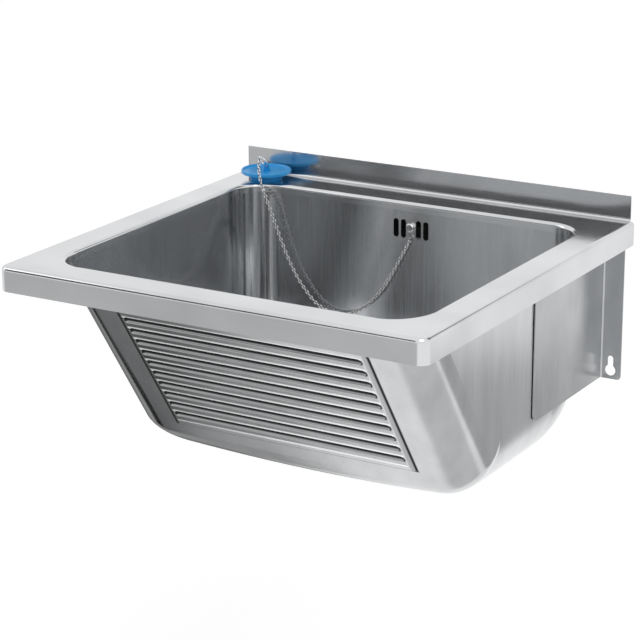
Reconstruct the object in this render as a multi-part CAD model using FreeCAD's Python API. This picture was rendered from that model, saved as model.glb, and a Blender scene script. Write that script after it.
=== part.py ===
import FreeCAD, Part
import math
import os
from FreeCAD import Placement, Rotation, Vector

# Wall-hung stainless steel utility sink with a washboard front, in millimetres.
# Frame: X to the right as seen from the front, Y towards the wall, Z up. The origin lies on
# the wall plane, midway between the two screw-head holes of the hanging brackets.

# ---- sheet and deck ----
deckWidth = 600.0
deckDepth = 580.0
deckTop = 209.0                # height of the deck's top face above the screw-head holes
sheet = 1.0                    # thickness of deck and bowl
apronDrop = 32.0               # deck top to the apron's lower edge
foldRadius = 5.5               # outside radius where the deck folds down into the apron
deckCornerRadius = 14.0        # front corners, seen from above
hemWidth = 8.0                 # inward return along the apron's lower edge
upstandHeight = 34.0
upstandEndInset = 5.0          # each end of the upstand stays this far inside the deck
coveRadius = 4.0               # hollow radius between deck and upstand
rollRadius = 5.0               # deck rolls over into the bowl with this radius
collarDepth = 12.0             # depth of the deck's own collar, down to the bowl's weld

# ---- bowl (outside sizes) ----
sideMargin = 42.5              # deck side to the bowl's outside
bowlRearGap = 57.0             # wall plane to the bowl's rear wall
frontMargin = 48.0             # deck front to the bowl's mouth
bowlDepth = 306.0              # deck top to the lowest point of the bowl's underside
frontAngle = 34.5              # lean of the washboard wall from the vertical, degrees
wallCornerRadius = 49.0
frontFootRadius = 80.0
rearFootRadius = 90.0
sideFootRadius = 84.0
bottomCrown = 14.0             # how much lower the bottom lies at mid width than at the sides

# ---- washboard, measured along the leaning wall from the weld ----
panelTop = 56.0
panelFoot = 284.0
panelMargin = 83.5             # bowl side to the panel's level field
panelRise = 4.0                # the panel stands this far outside the wall
panelFlank = 1.25              # sideways run of the panel's flank per unit of rise
panelRimRadius = 2.0           # rounding between the panel's level field and its flanks
grooveFirst = 71.0
groovePitch = 21.2
grooveCount = 10
grooveRadius = 5.2
grooveFloor = 0.4              # groove bottom above the plain wall
grooveEndInset = 4.0
grooveLipRadius = 2.4          # rounding of each rib beside its grooves

# ---- waste outlet ----
wasteFromWall = 190.0
recessRadius = 44.0
recessDrop = 2.5
wasteBore = 26.3               # radius that the plug's body enters
cupWall = 1.2
cupDepth = 13.0
flangeThickness = 1.5
upperGasket = 1.5
lowerGasket = 2.0
seatClearance = 1.0            # play of the cup in the bowl's hole
wasteChamberDepth = 20.0
wasteWall = 3.0
outletRadius = 23.9            # outside of the outlet spigot
outletBore = 19.5
outletLength = 12.0
portDrop = 11.5                # overflow port's axis below the waste body's top
portReach = 24.0
clampScrewRadius = 3.0
clampBossRadius = 6.5
clampBossHeight = 9.0
gridSlots = 6
threadClearance = 0.1
holeClearance = 0.4

# ---- overflow ----
slotWidth = 8.0
slotLength = 26.0
slotCentreDrop = 37.0          # deck top to the middle of the slots
slotOffsets = (-22.8, -11.4, 11.4, 22.8)
overflowScrewDrop = 34.0
overflowScrewRadius = 2.5
overflowScrewReach = 27.0
screwHeadRadius = 6.0
screwHeadHeight = 3.6
boxHalfWidth = 38.0
boxHalfHeight = 23.0
boxFlange = 3.0
boxWall = 2.0
boxDepth = 27.0
boxLip = 6.0                   # flange width around the chamber
boxCornerRadius = 6.0
overflowGasket = 2.0
pipeRadius = 8.0
pipeWall = 1.6
pipeBend = 45.0
pipeInsert = 12.0
spigotWall = 1.7
spigotLength = 20.0
pipeClearance = 0.3
sealLength = 5.0
nutLip = 2.5
nutGrip = 12.0
nutWall = 3.4

# ---- brackets ----
bracketSheet = 1.5
bracketGap = 1.0               # play between bracket plate and bowl side
bracketReach = 210.0           # wall plane to the plate's front edge
bracketDrop = 221.0            # deck top to the plate's lower edge
bracketNose = 11.0             # radius of the plate's lower front corner
flangeWidth = 29.0             # rear flange, from the plate's outer face
tabWidth = 25.0
tabLength = 190.0
bracketFold = 4.0
flangeCornerRadius = 5.0
keyholeInset = 14.0            # plate's outer face to the keyhole's middle
keyholeHeadRadius = 7.5
keyholeSlotRadius = 4.0
keyholeRise = 16.4             # screw-head hole to the slot's end centre

# ---- plug, ring and chain ----
plugX = -242.0
plugFromWall = 39.0
plugFootRadius = 22.5
plugNeckRadius = 25.0
plugBodyHeight = 9.5
plugFlangeRadius = 35.3
plugFlangeThickness = 2.5
plugRimHeight = 2.4
plugRimWidth = 2.2
plugGroove = 0.9
lugHeight = 11.0
lugFootWidth = 13.0
lugTopWidth = 7.0
lugThickness = 3.6
lugHoleRadius = 2.0
lugHoleRise = 7.0              # lug hole above the dished top
ringRadius = 8.5
ringWire = 0.9
ringLean = 35.0                # degrees from the vertical, towards the bowl
ringTurn = 114.0               # direction of that lean seen from above, clockwise from +X
chainWidth = 4.4
chainPlay = 0.5
leadRise = 28.0                # the chain climbs this far above its last link in the bowl
anchorPlate = 1.2
anchorDiscRadius = 7.0
anchorArm = 14.0
anchorEyeRadius = 4.5
anchorEyeHole = 2.0
anchorArmWidth = 6.0

# ---- derived places ----
halfDeck = deckWidth / 2
deckUnder = deckTop - sheet
weldHeight = deckTop - collarDepth
halfBowl = halfDeck - sideMargin
plateOuter = halfBowl + bracketGap + bracketSheet
bowlRear = -bowlRearGap
bowlFront = -(deckDepth - frontMargin)
bowlBottom = deckTop - bowlDepth
lean = math.radians(frontAngle)
reach = 2000.0                 # longer than any size here, for cutting tools


def save(name, shape):
    shape.exportStep("parts/" + name + ".step")
    print("%-20s %d solid(s) %9.1f mm3" % (name, len(shape.Solids), shape.Volume))


def cylinderAlong(radius, length, base, direction):
    return Part.makeCylinder(radius, length, Vector(*base), Vector(*direction))


def roundedRectangle(x1, x2, y1, y2, radius, z=0.0):
    """Face in a level plane with four equal corner arcs."""
    corners = [(x2, y2, 0), (x1, y2, 90), (x1, y1, 180), (x2, y1, 270)]
    edges = []
    points = []
    for x, y, start in corners:
        cx = x - radius if x == x2 else x + radius
        cy = y - radius if y == y2 else y + radius
        arc = []
        for turn in (0, 45, 90):
            a = math.radians(start + turn)
            arc.append(Vector(cx + radius * math.cos(a), cy + radius * math.sin(a), z))
        points.append(arc)
    for i, arc in enumerate(points):
        edges.append(Part.Arc(*arc).toShape())
        edges.append(Part.LineSegment(arc[2], points[(i + 1) % 4][0]).toShape())
    return Part.Face(Part.Wire(edges))


def revolved(points, closed=True):
    """Solid of revolution about Z from (radius, height) points."""
    outline = [Vector(r, 0, z) for r, z in points]
    if closed:
        outline.append(outline[0])
    face = Part.Face(Part.makePolygon(outline))
    return face.revolve(Vector(0, 0, 0), Vector(0, 0, 1), 360)


def ring(outer, inner, z1, z2):
    tube = Part.makeCylinder(outer, z2 - z1, Vector(0, 0, z1))
    return tube.cut(Part.makeCylinder(inner, z2 - z1, Vector(0, 0, z1)))


def middle(edge):
    return edge.valueAt((edge.FirstParameter + edge.LastParameter) / 2)


def mirrored(shape):
    return shape.mirror(Vector(0, 0, 0), Vector(1, 0, 0))


# ---------------------------------------------------------------- bowl
def bowlBody(inset):
    """Closed body of the bowl up to the weld, its faces moved inwards by inset."""
    half = halfBowl - inset
    rear = bowlRear - inset
    bottom = bowlBottom + inset
    front = bowlFront + inset / math.cos(lean)
    below = bottom - bottomCrown
    run = (weldHeight - below) * math.tan(lean)
    side = [Vector(-half, rear, weldHeight), Vector(-half, rear, below),
            Vector(-half, front + run, below), Vector(-half, front, weldHeight)]
    block = Part.Face(Part.makePolygon(side + side[:1])).extrude(Vector(2 * half, 0, 0))
    crownEdge = bottom + bottomCrown
    corners = [Vector(-half, 0, reach), Vector(-half, 0, crownEdge),
               Vector(half, 0, crownEdge), Vector(half, 0, reach)]
    trough = [Part.LineSegment(corners[0], corners[1]).toShape(),
              Part.Arc(corners[1], Vector(0, 0, bottom), corners[2]).toShape(),
              Part.LineSegment(corners[2], corners[3]).toShape(),
              Part.LineSegment(corners[3], corners[0]).toShape()]
    crown = Part.Face(Part.Wire(trough)).extrude(Vector(0, -reach, 0))
    block = block.common(crown).Solids[0]
    lowest = [e for e in block.Edges if middle(e).z < crownEdge and e.BoundBox.XLength > half]
    rearFoot = [e for e in lowest if middle(e).y > rear - 1]
    frontFoot = [e for e in lowest if middle(e).y <= rear - 1]
    block = block.makeFillet(rearFootRadius - inset, rearFoot)
    frontFoot = [e for e in block.Edges if middle(e).z < crownEdge and e.BoundBox.XLength > half
                 and abs(middle(e).y - middle(frontFoot[0]).y) < 1]
    block = block.makeFillet(frontFootRadius - inset, frontFoot)
    return roundSides(block, half, inset)


def roundSides(block, half, inset):
    """Rounds both side outlines: tight up the walls, full along the bottom."""
    document = FreeCAD.newDocument("bowl")
    base = document.addObject("Part::Feature", "base")
    base.Shape = block
    rounded = document.addObject("Part::Fillet", "rounded")
    rounded.Base = base
    outline = [(i + 1, e) for i, e in enumerate(block.Edges)
               if abs(abs(middle(e).x) - half) < 0.01 and abs(middle(e).z - weldHeight) > 0.01]
    foot = min(v.Point.z for _, e in outline for v in e.Vertexes)
    radii = []
    for number, edge in outline:
        ends = []
        for vertex in (edge.Vertexes[0], edge.Vertexes[-1]):
            low = vertex.Point.z < foot + 1
            ends.append((sideFootRadius if low else wallCornerRadius) - inset)
        radii.append((number, ends[0], ends[1]))
    rounded.Edges = radii
    document.recompute()
    result = rounded.Shape.Solids[0]
    FreeCAD.closeDocument(document.Name)
    return result


def onFrontWall(shape):
    """Places a shape drawn with X across, Y up the leaning wall and Z out of it."""
    shape.Placement = Placement(Vector(0, bowlFront, weldHeight),
                                Rotation(Vector(1, 0, 0), 90 + frontAngle))
    return shape


def washboardGrooves(half, radius):
    """Round-ended bars that press the grooves, drawn on the plain wall."""
    height = grooveFloor + grooveRadius
    bars = []
    for i in range(grooveCount):
        y = -(grooveFirst + i * groovePitch)
        bar = cylinderAlong(radius, 2 * half, (-half, y, height), (1, 0, 0))
        for x in (-half, half):
            bar = bar.fuse(Part.makeSphere(radius, Vector(x, y, height)))
        bars.append(bar.removeSplitter())
    return Part.makeCompound(bars)


def washboardPanel(inset):
    """Raised and grooved field of the washboard; inset gives its inside."""
    halfField = halfBowl - panelMargin
    slant = inset * math.sqrt(1 + panelFlank ** 2)
    top = panelRise - inset
    wires = []
    for height in (-panelRise, top):
        spread = (panelRise - height) * panelFlank - slant
        x = halfField + spread
        y1 = -(panelFoot + spread)
        y2 = -(panelTop - spread)
        corners = [Vector(-x, y1, height), Vector(x, y1, height),
                   Vector(x, y2, height), Vector(-x, y2, height)]
        wires.append(Part.makePolygon(corners + corners[:1]))
    panel = Part.makeLoft(wires, True, True)
    rim = [e for e in panel.Edges if abs(middle(e).z - top) < 0.01]
    panel = panel.makeFillet(panelRimRadius - inset, rim)
    half = halfField - grooveEndInset - grooveRadius
    panel = panel.cut(washboardGrooves(half, grooveRadius + inset))
    edge = half + grooveRadius + inset
    lips = [e for e in panel.Edges if e.BoundBox.ZLength < 0.01 and abs(middle(e).z - top) < 0.01
            and abs(middle(e).x) < edge and y1 + edge - half < middle(e).y < y2 - edge + half]
    return onFrontWall(panel.makeFillet(grooveLipRadius - inset, lips))


def overflowSlot(x):
    """Upright slot with round ends, cut through the rear wall."""
    half = slotLength / 2 - slotWidth / 2
    z = deckTop - slotCentreDrop
    box = Part.makeBox(slotWidth, 20, 2 * half, Vector(x - slotWidth / 2, bowlRear - 10, z - half))
    for end in (z - half, z + half):
        box = box.fuse(cylinderAlong(slotWidth / 2, 20, (x, bowlRear - 10, end), (0, 1, 0)))
    return box


def makeBowl():
    outer = bowlBody(0).fuse(washboardPanel(0))
    inner = bowlBody(sheet).fuse(washboardPanel(sheet))
    recess = Vector(0, -wasteFromWall, bowlBottom - recessDrop)
    outer = outer.fuse(Part.makeCylinder(recessRadius + sheet, 3 * recessDrop, recess))
    recess.z += sheet
    inner = inner.fuse(Part.makeCylinder(recessRadius, 3 * recessDrop, recess))
    bowl = outer.cut(inner)
    hole = wasteBore + cupWall + seatClearance
    bowl = bowl.cut(Part.makeCylinder(hole, 40, Vector(0, -wasteFromWall, bowlBottom - 20)))
    for x in slotOffsets:
        bowl = bowl.cut(overflowSlot(x))
    screwHole = overflowScrewRadius + holeClearance
    z = deckTop - overflowScrewDrop
    return bowl.cut(cylinderAlong(screwHole, 20, (0, bowlRear - 10, z), (0, 1, 0)))


# ---------------------------------------------------------------- deck
def flaredPlug(inset, top, flare):
    """The bowl's mouth as a solid from the weld up to top, flaring out at its upper edge."""
    mouth = [f for f in bowlBody(inset).Faces
             if f.BoundBox.ZLength < 0.01 and f.CenterOfMass.z > weldHeight - 0.01][0]
    prism = mouth.extrude(Vector(0, 0, top - weldHeight))
    block = Part.makeBox(deckWidth + 100, deckDepth + 100, top - weldHeight,
                         Vector(-halfDeck - 50, -deckDepth - 50, weldHeight))
    around = block.cut(prism)
    lip = [e for e in around.Edges if e.BoundBox.ZLength < 0.01 and middle(e).z > top - 0.01
           and abs(middle(e).x) < halfDeck and -deckDepth < middle(e).y < 0]
    return block.cut(around.makeFillet(flare, lip))


def deckBlock(inset):
    """Outside of deck and aprons, its faces moved inwards by inset; open to the rear."""
    x = halfDeck - inset
    y = -(deckDepth - inset)
    rear = 2 * inset
    z1 = deckTop - apronDrop - 2 * inset
    block = Part.makeBox(2 * x, rear - y, deckTop - inset - z1, Vector(-x, y, z1))
    upright = [e for e in block.Edges if e.BoundBox.ZLength > 1 and middle(e).y < y + 1]
    block = block.makeFillet(deckCornerRadius - inset, upright)
    rim = [e for e in block.Edges if e.BoundBox.ZLength < 0.01
           and middle(e).z > deckTop - inset - 0.01 and middle(e).y < rear - 0.01]
    return block.makeFillet(foldRadius - inset, rim)


def upstandProfile():
    """Section of the upstand with its cove, extruded along X."""
    thick = sheet
    y1 = -thick - coveRadius
    outerRadius = coveRadius + thick
    a = math.sqrt(0.5)
    inside = [Vector(0, y1, deckTop), Vector(0, y1 + coveRadius * a, deckTop + coveRadius * (1 - a)),
              Vector(0, -thick, deckTop + coveRadius)]
    outside = [Vector(0, 0, deckTop + coveRadius),
               Vector(0, y1 + outerRadius * a, deckTop + coveRadius - outerRadius * a),
               Vector(0, y1, deckUnder)]
    head = deckTop + upstandHeight
    edges = [Part.Arc(*inside).toShape(),
             Part.LineSegment(inside[2], Vector(0, -thick, head)).toShape(),
             Part.LineSegment(Vector(0, -thick, head), Vector(0, 0, head)).toShape(),
             Part.LineSegment(Vector(0, 0, head), outside[0]).toShape(),
             Part.Arc(*outside).toShape(),
             Part.LineSegment(outside[2], inside[0]).toShape()]
    length = deckWidth - 2 * upstandEndInset
    upstand = Part.Face(Part.Wire(edges)).extrude(Vector(length, 0, 0))
    upstand.translate(Vector(-length / 2, 0, 0))
    return upstand


def makeDeck():
    hemTop = deckTop - apronDrop + sheet
    cavity = deckBlock(sheet)
    cavity = cavity.common(Part.makeBox(reach, reach, reach, Vector(-reach / 2, -reach / 2, hemTop)))
    hemOpening = roundedRectangle(-halfDeck + hemWidth, halfDeck - hemWidth,
                                  -deckDepth + hemWidth, 100, deckCornerRadius - hemWidth)
    hemOpening.translate(Vector(0, 0, hemTop - 2 * sheet))
    cavity = cavity.fuse(hemOpening.extrude(Vector(0, 0, 4 * sheet)))
    cavity = cavity.cut(flaredPlug(0, deckUnder, rollRadius - sheet))
    deck = deckBlock(0).cut(cavity)
    deck = deck.cut(flaredPlug(sheet, deckTop, rollRadius))
    rearLine = -sheet - coveRadius
    strip = Part.makeBox(reach, reach, reach, Vector(-reach / 2, rearLine, deckUnder - reach / 2))
    ends = deck.common(strip)
    flat = Part.makeBox(deckWidth - 2 * upstandEndInset, reach, reach,
                        Vector(-halfDeck + upstandEndInset, rearLine, deckUnder - 3 * sheet))
    deck = deck.cut(strip).fuse([ends.cut(flat), upstandProfile()])
    return deck.removeSplitter()


# ---------------------------------------------------------------- brackets
def makeBracket():
    """Right-hand hanging bracket: plate beside the bowl, top tab and rear flange."""
    inner = halfBowl + bracketGap
    low = deckTop - bracketDrop
    plate = Part.makeBox(bracketSheet, bracketReach - bracketFold, bracketDrop - sheet - bracketFold,
                         Vector(inner, -bracketReach, low))
    nose = [e for e in plate.Edges if e.BoundBox.XLength > bracketSheet / 2
            and middle(e).y < -bracketReach + 1 and middle(e).z < low + 1]
    plate = plate.makeFillet(bracketNose, nose)
    tab = Part.makeBox(tabWidth - bracketFold + bracketSheet, tabLength, bracketSheet,
                       Vector(inner + bracketFold, -bracketReach, deckUnder - bracketSheet))
    tabFold = foldPiece(Vector(inner + bracketFold, -bracketReach, deckUnder - bracketFold),
                        "y", tabLength)
    flange = Part.makeBox(flangeWidth + bracketSheet - bracketFold, bracketSheet,
                          bracketDrop - 4 * bracketFold, Vector(inner + bracketFold, -bracketSheet, low))
    corner = [e for e in flange.Edges if e.BoundBox.YLength > bracketSheet / 2
              and middle(e).x > plateOuter + flangeWidth - 1 and middle(e).z < low + 1]
    flange = flange.makeFillet(flangeCornerRadius, corner)
    flangeFold = foldPiece(Vector(inner + bracketFold, -bracketFold, low),
                           "z", bracketDrop - 4 * bracketFold)
    bracket = plate.fuse([tab, tabFold, flange, flangeFold]).removeSplitter()
    x = plateOuter + keyholeInset
    keyhole = cylinderAlong(keyholeHeadRadius, 20, (x, -10, 0), (0, 1, 0))
    keyhole = keyhole.fuse(Part.makeBox(2 * keyholeSlotRadius, 20, keyholeRise,
                                        Vector(x - keyholeSlotRadius, -10, 0)))
    keyhole = keyhole.fuse(cylinderAlong(keyholeSlotRadius, 20, (x, -10, keyholeRise), (0, 1, 0)))
    return bracket.cut(keyhole)


def foldPiece(centre, along, length):
    """Quarter tube that joins two sheets at a fold; its outside faces -X and up or to the rear."""
    tube = Part.makeCylinder(bracketFold, length, Vector(0, 0, 0), Vector(0, 0, 1), 90)
    tube = tube.cut(Part.makeCylinder(bracketFold - bracketSheet, length))
    if along == "y":
        tube.rotate(Vector(0, 0, 0), Vector(1, 0, 0), 90)
        tube.rotate(Vector(0, 0, 0), Vector(0, 0, 1), 180)
    else:
        tube.rotate(Vector(0, 0, 0), Vector(0, 0, 1), 90)
    tube.translate(centre)
    return tube


# ---------------------------------------------------------------- waste outlet
wasteSeat = bowlBottom - recessDrop + sheet
flangeTop = wasteSeat + upperGasket + flangeThickness
cupOuter = wasteBore + cupWall
gridTop = flangeTop - cupDepth
bodyTop = bowlBottom - recessDrop - lowerGasket
bodyFloor = bodyTop - wasteChamberDepth
chamberRadius = cupOuter + seatClearance + wasteWall
portMouth = -wasteFromWall + chamberRadius + wasteWall + portReach
portHeight = bodyTop - portDrop
spigotRadius = pipeRadius + pipeClearance + spigotWall
spigotBore = pipeRadius + pipeClearance
clampHole = clampScrewRadius + holeClearance


def overWaste(shape):
    shape.translate(Vector(0, -wasteFromWall, 0))
    return shape


def makeWasteFlange():
    rim = recessRadius - 2 * seatClearance
    shell = revolved([(wasteBore, flangeTop), (rim, flangeTop), (rim, flangeTop - flangeThickness),
                      (cupOuter, flangeTop - flangeThickness), (cupOuter, gridTop - cupWall),
                      (clampHole, gridTop - cupWall), (clampHole, gridTop), (wasteBore, gridTop)])
    for i in range(gridSlots):
        slot = roundedRectangle(clampBossRadius + 3, wasteBore - 2.5, -3, 3, 2.9, gridTop - 5)
        slot = slot.extrude(Vector(0, 0, 10))
        slot.rotate(Vector(0, 0, 0), Vector(0, 0, 1), 360.0 / gridSlots * i)
        shell = shell.cut(slot)
    return overWaste(shell)


def makeUpperGasket():
    rim = recessRadius - 2 * seatClearance
    return overWaste(ring(rim, cupOuter + holeClearance, wasteSeat, wasteSeat + upperGasket))


def makeLowerGasket():
    return overWaste(ring(recessRadius, cupOuter + seatClearance, bodyTop, bodyTop + lowerGasket))


def makeWasteBody():
    outside = chamberRadius + wasteWall
    slope = (chamberRadius - outletBore) * 0.15
    spigotFoot = bodyFloor - outletLength
    body = revolved([(chamberRadius, bodyTop), (recessRadius, bodyTop), (recessRadius, bodyTop - 4),
                     (outside, bodyTop - 6), (outside, bodyFloor + slope),
                     (outletRadius, bodyFloor), (outletRadius, spigotFoot),
                     (outletBore, spigotFoot), (outletBore, bodyFloor + 2),
                     (chamberRadius, bodyFloor + 2 + slope)])
    portStart = chamberRadius + wasteWall / 2
    portEnd = portMouth + wasteFromWall
    port = cylinderAlong(spigotRadius, portEnd - portStart, (0, portStart, portHeight), (0, 1, 0))
    body = body.fuse(port)
    boreLength = pipeInsert + 1
    body = body.cut(cylinderAlong(spigotBore, boreLength, (0, portEnd - boreLength, portHeight),
                                  (0, 1, 0)))
    body = body.cut(cylinderAlong(pipeRadius - pipeWall, portEnd, (0, 0, portHeight), (0, 1, 0)))
    bossTop = gridTop - cupWall - 1
    boss = Part.makeCylinder(clampBossRadius, clampBossHeight, Vector(0, 0, bossTop - clampBossHeight))
    for i in range(3):
        web = Part.makeBox(chamberRadius + 1, 3, clampBossHeight - 3,
                           Vector(0, -1.5, bossTop - clampBossHeight))
        web.rotate(Vector(0, 0, 0), Vector(0, 0, 1), 30 + 120 * i)
        boss = boss.fuse(web)
    thread = clampScrewRadius + threadClearance
    boss = boss.cut(Part.makeCylinder(thread, 40, Vector(0, 0, bossTop - 30)))
    return overWaste(body.fuse(boss).removeSplitter())


def makeWasteScrew():
    headTop = gridTop + 3.2
    length = headTop - (gridTop - cupWall - 1 - clampBossHeight) + 2
    screw = Part.makeCylinder(clampScrewRadius, length, Vector(0, 0, headTop - length))
    head = Part.makeCylinder(clampBossRadius - 0.5, 3.2, Vector(0, 0, gridTop))
    rim = [e for e in head.Edges if middle(e).z > headTop - 0.01 and e.Closed]
    screw = screw.fuse(head.makeFillet(1.2, rim))
    slot = Part.makeBox(20, 1.4, 3, Vector(-10, -0.7, headTop - 1.5))
    return overWaste(screw.cut(slot).removeSplitter())


# ---------------------------------------------------------------- overflow
gasketRear = bowlRear + overflowGasket
flangeRear = gasketRear + boxFlange
pipeY = flangeRear + spigotRadius + 0.5
boxMiddle = deckTop - slotCentreDrop
chamberHalfWidth = boxHalfWidth - boxLip
chamberHalfHeight = boxHalfHeight - boxLip
upperMouth = boxMiddle - chamberHalfHeight - spigotLength


def plateInWall(halfX, halfZ, radius, y1, y2):
    face = roundedRectangle(-halfX, halfX, -halfZ, halfZ, radius)
    solid = face.extrude(Vector(0, 0, y2 - y1))
    solid.rotate(Vector(0, 0, 0), Vector(1, 0, 0), 90)
    solid.translate(Vector(0, y2, boxMiddle))
    return solid


def makeOverflowGasket():
    gasket = plateInWall(boxHalfWidth, boxHalfHeight, boxCornerRadius, bowlRear, gasketRear)
    window = plateInWall(chamberHalfWidth, chamberHalfHeight, boxCornerRadius / 2,
                         bowlRear - 1, gasketRear + 1)
    return gasket.cut(window)


def makeOverflowBox():
    rear = gasketRear + boxDepth
    box = plateInWall(boxHalfWidth, boxHalfHeight, boxCornerRadius, gasketRear, flangeRear)
    shell = plateInWall(chamberHalfWidth + boxWall, chamberHalfHeight + boxWall, boxCornerRadius,
                        flangeRear, rear)
    back = [e for e in shell.Edges if middle(e).y > rear - 0.01]
    box = box.fuse(shell.makeFillet(3, back))
    spigotTop = boxMiddle - chamberHalfHeight
    box = box.fuse(cylinderAlong(spigotRadius, spigotLength, (0, pipeY, upperMouth), (0, 0, 1)))
    box = box.cut(plateInWall(chamberHalfWidth, chamberHalfHeight, boxCornerRadius / 2,
                              gasketRear, rear - boxWall))
    z = deckTop - overflowScrewDrop
    boss = cylinderAlong(5, boxDepth - boxWall / 2, (0, gasketRear, z), (0, 1, 0))
    box = box.fuse(boss)
    box = box.cut(cylinderAlong(overflowScrewRadius + threadClearance, boxDepth - boxWall - 1,
                                (0, gasketRear, z), (0, 1, 0)))
    box = box.cut(cylinderAlong(pipeRadius - pipeWall, spigotLength + 5, (0, pipeY, upperMouth),
                                (0, 0, 1)))
    box = box.cut(cylinderAlong(spigotBore, pipeInsert + 1, (0, pipeY, upperMouth), (0, 0, 1)))
    return box.removeSplitter()


def makeOverflowScrew():
    z = deckTop - overflowScrewDrop
    seat = bowlRear - sheet - anchorPlate - chainPlay / 2
    shank = cylinderAlong(overflowScrewRadius, overflowScrewReach, (0, seat, z), (0, 1, 0))
    head = cylinderAlong(screwHeadRadius, screwHeadHeight, (0, seat - screwHeadHeight, z), (0, 1, 0))
    rim = [e for e in head.Edges if e.Closed and middle(e).y < seat - screwHeadHeight + 0.01]
    head = head.makeFillet(1.6, rim)
    slot = Part.makeBox(20, 1.6, 1.3, Vector(-10, seat - screwHeadHeight, z - 0.65))
    return shank.fuse(head).cut(slot).removeSplitter()


def makeOverflowPipe():
    """Rigid pipe: down behind the bowl, a quarter bend, forward to the waste body."""
    z1 = upperMouth + pipeInsert
    bendZ = portHeight + pipeBend
    bendY = pipeY - pipeBend
    endY = portMouth - pipeInsert
    pipe = None
    for radius in (pipeRadius, pipeRadius - pipeWall):
        down = cylinderAlong(radius, z1 - bendZ, (0, pipeY, bendZ), (0, 0, 1))
        circle = Part.Face(Part.Wire(Part.makeCircle(radius, Vector(0, pipeY, bendZ))))
        bend = circle.revolve(Vector(0, bendY, bendZ), Vector(1, 0, 0), -90)
        along = cylinderAlong(radius, bendY - endY, (0, endY, portHeight), (0, 1, 0))
        run = down.fuse([bend, along]).removeSplitter()
        pipe = run if pipe is None else pipe.cut(run)
    return pipe


def compressionSeal():
    """Tapered ring at a spigot's mouth, drawn with the spigot above z = 0."""
    inner = pipeRadius + pipeClearance / 2
    return revolved([(inner, 0), (spigotRadius - 0.2, 0), (spigotRadius - 0.8, -sealLength),
                     (inner, -sealLength)])


def compressionNut():
    """Eight-sided cap nut over the spigot, with a lip under the seal."""
    inner = spigotRadius + pipeClearance
    outer = inner + nutWall
    low = -sealLength - nutLip - 0.3
    corners = [Vector(outer * math.cos(math.radians(22.5 + 45 * i)),
                      outer * math.sin(math.radians(22.5 + 45 * i)), low) for i in range(8)]
    nut = Part.Face(Part.makePolygon(corners + corners[:1])).extrude(Vector(0, 0, nutGrip - low))
    nut = nut.cut(Part.makeCylinder(inner, nutGrip + sealLength + 0.3, Vector(0, 0, -sealLength - 0.3)))
    return nut.cut(Part.makeCylinder(pipeRadius + pipeClearance, 30, Vector(0, 0, -20)))


def atUpperJoint(shape):
    shape.translate(Vector(0, pipeY, upperMouth))
    return shape


def atLowerJoint(shape):
    shape.rotate(Vector(0, 0, 0), Vector(1, 0, 0), 90)
    shape.translate(Vector(0, portMouth, portHeight))
    return shape


# ---------------------------------------------------------------- chain and plug
def makeAnchor():
    """Stamped link under the overflow screw; the chain hooks into its lower eye."""
    z = deckTop - overflowScrewDrop
    y1 = bowlRear - sheet - anchorPlate
    plate = cylinderAlong(anchorDiscRadius, anchorPlate, (0, y1, z), (0, 1, 0))
    plate = plate.fuse(Part.makeBox(anchorArmWidth, anchorPlate, anchorArm,
                                    Vector(-anchorArmWidth / 2, y1, z - anchorArm)))
    plate = plate.fuse(cylinderAlong(anchorEyeRadius, anchorPlate, (0, y1, z - anchorArm), (0, 1, 0)))
    plate = plate.cut(cylinderAlong(overflowScrewRadius + holeClearance, 9, (0, y1 - 4, z), (0, 1, 0)))
    return plate.cut(cylinderAlong(anchorEyeHole, 9, (0, y1 - 4, z - anchorArm), (0, 1, 0)))


plugAway = Vector(math.cos(math.radians(ringTurn)), -math.sin(math.radians(ringTurn)), 0)
plugCentre = Vector(plugX, -plugFromWall, deckTop)
dishHeight = plugBodyHeight + plugFlangeThickness
lugHole = plugCentre + Vector(0, 0, dishHeight + lugHoleRise)


def makePlug():
    step = (plugNeckRadius - plugFootRadius) / plugBodyHeight
    profile = [(0, 0), (plugFootRadius - 1, 0), (plugFootRadius, 1)]
    for z in (plugBodyHeight * 0.35, plugBodyHeight * 0.65):
        r = plugFootRadius + z * step
        profile += [(r, z - 0.8), (r - plugGroove, z - 0.3), (r - plugGroove, z + 0.3), (r, z + 0.8)]
    rimTop = dishHeight + plugRimHeight
    rimInner = plugFlangeRadius - plugRimWidth
    profile += [(plugNeckRadius, plugBodyHeight), (plugFlangeRadius - 0.8, plugBodyHeight),
                (plugFlangeRadius, plugBodyHeight + 0.8), (plugFlangeRadius, rimTop - 0.8),
                (plugFlangeRadius - 0.8, rimTop), (rimInner, rimTop), (rimInner - 1.5, dishHeight),
                (0, dishHeight - 0.6)]
    body = revolved(profile)
    foot = lugFootWidth / 2
    head = lugTopWidth / 2
    side = [Vector(-lugThickness / 2, -foot, dishHeight - 2), Vector(-lugThickness / 2, foot, dishHeight - 2),
            Vector(-lugThickness / 2, head, dishHeight + lugHeight - 2),
            Vector(-lugThickness / 2, -head, dishHeight + lugHeight - 2)]
    lug = Part.Face(Part.makePolygon(side + side[:1])).extrude(Vector(lugThickness, 0, 0))
    crown = cylinderAlong(head, lugThickness, (-lugThickness / 2, 0, dishHeight + lugHeight - 2), (1, 0, 0))
    lug = lug.fuse(crown)
    hole = cylinderAlong(lugHoleRadius, 20, (-10, 0, dishHeight + lugHoleRise), (1, 0, 0))
    plug = body.fuse(lug).cut(hole).removeSplitter()
    plug.rotate(Vector(0, 0, 0), Vector(0, 0, 1), 90 - ringTurn)
    plug.translate(plugCentre)
    return plug


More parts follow.
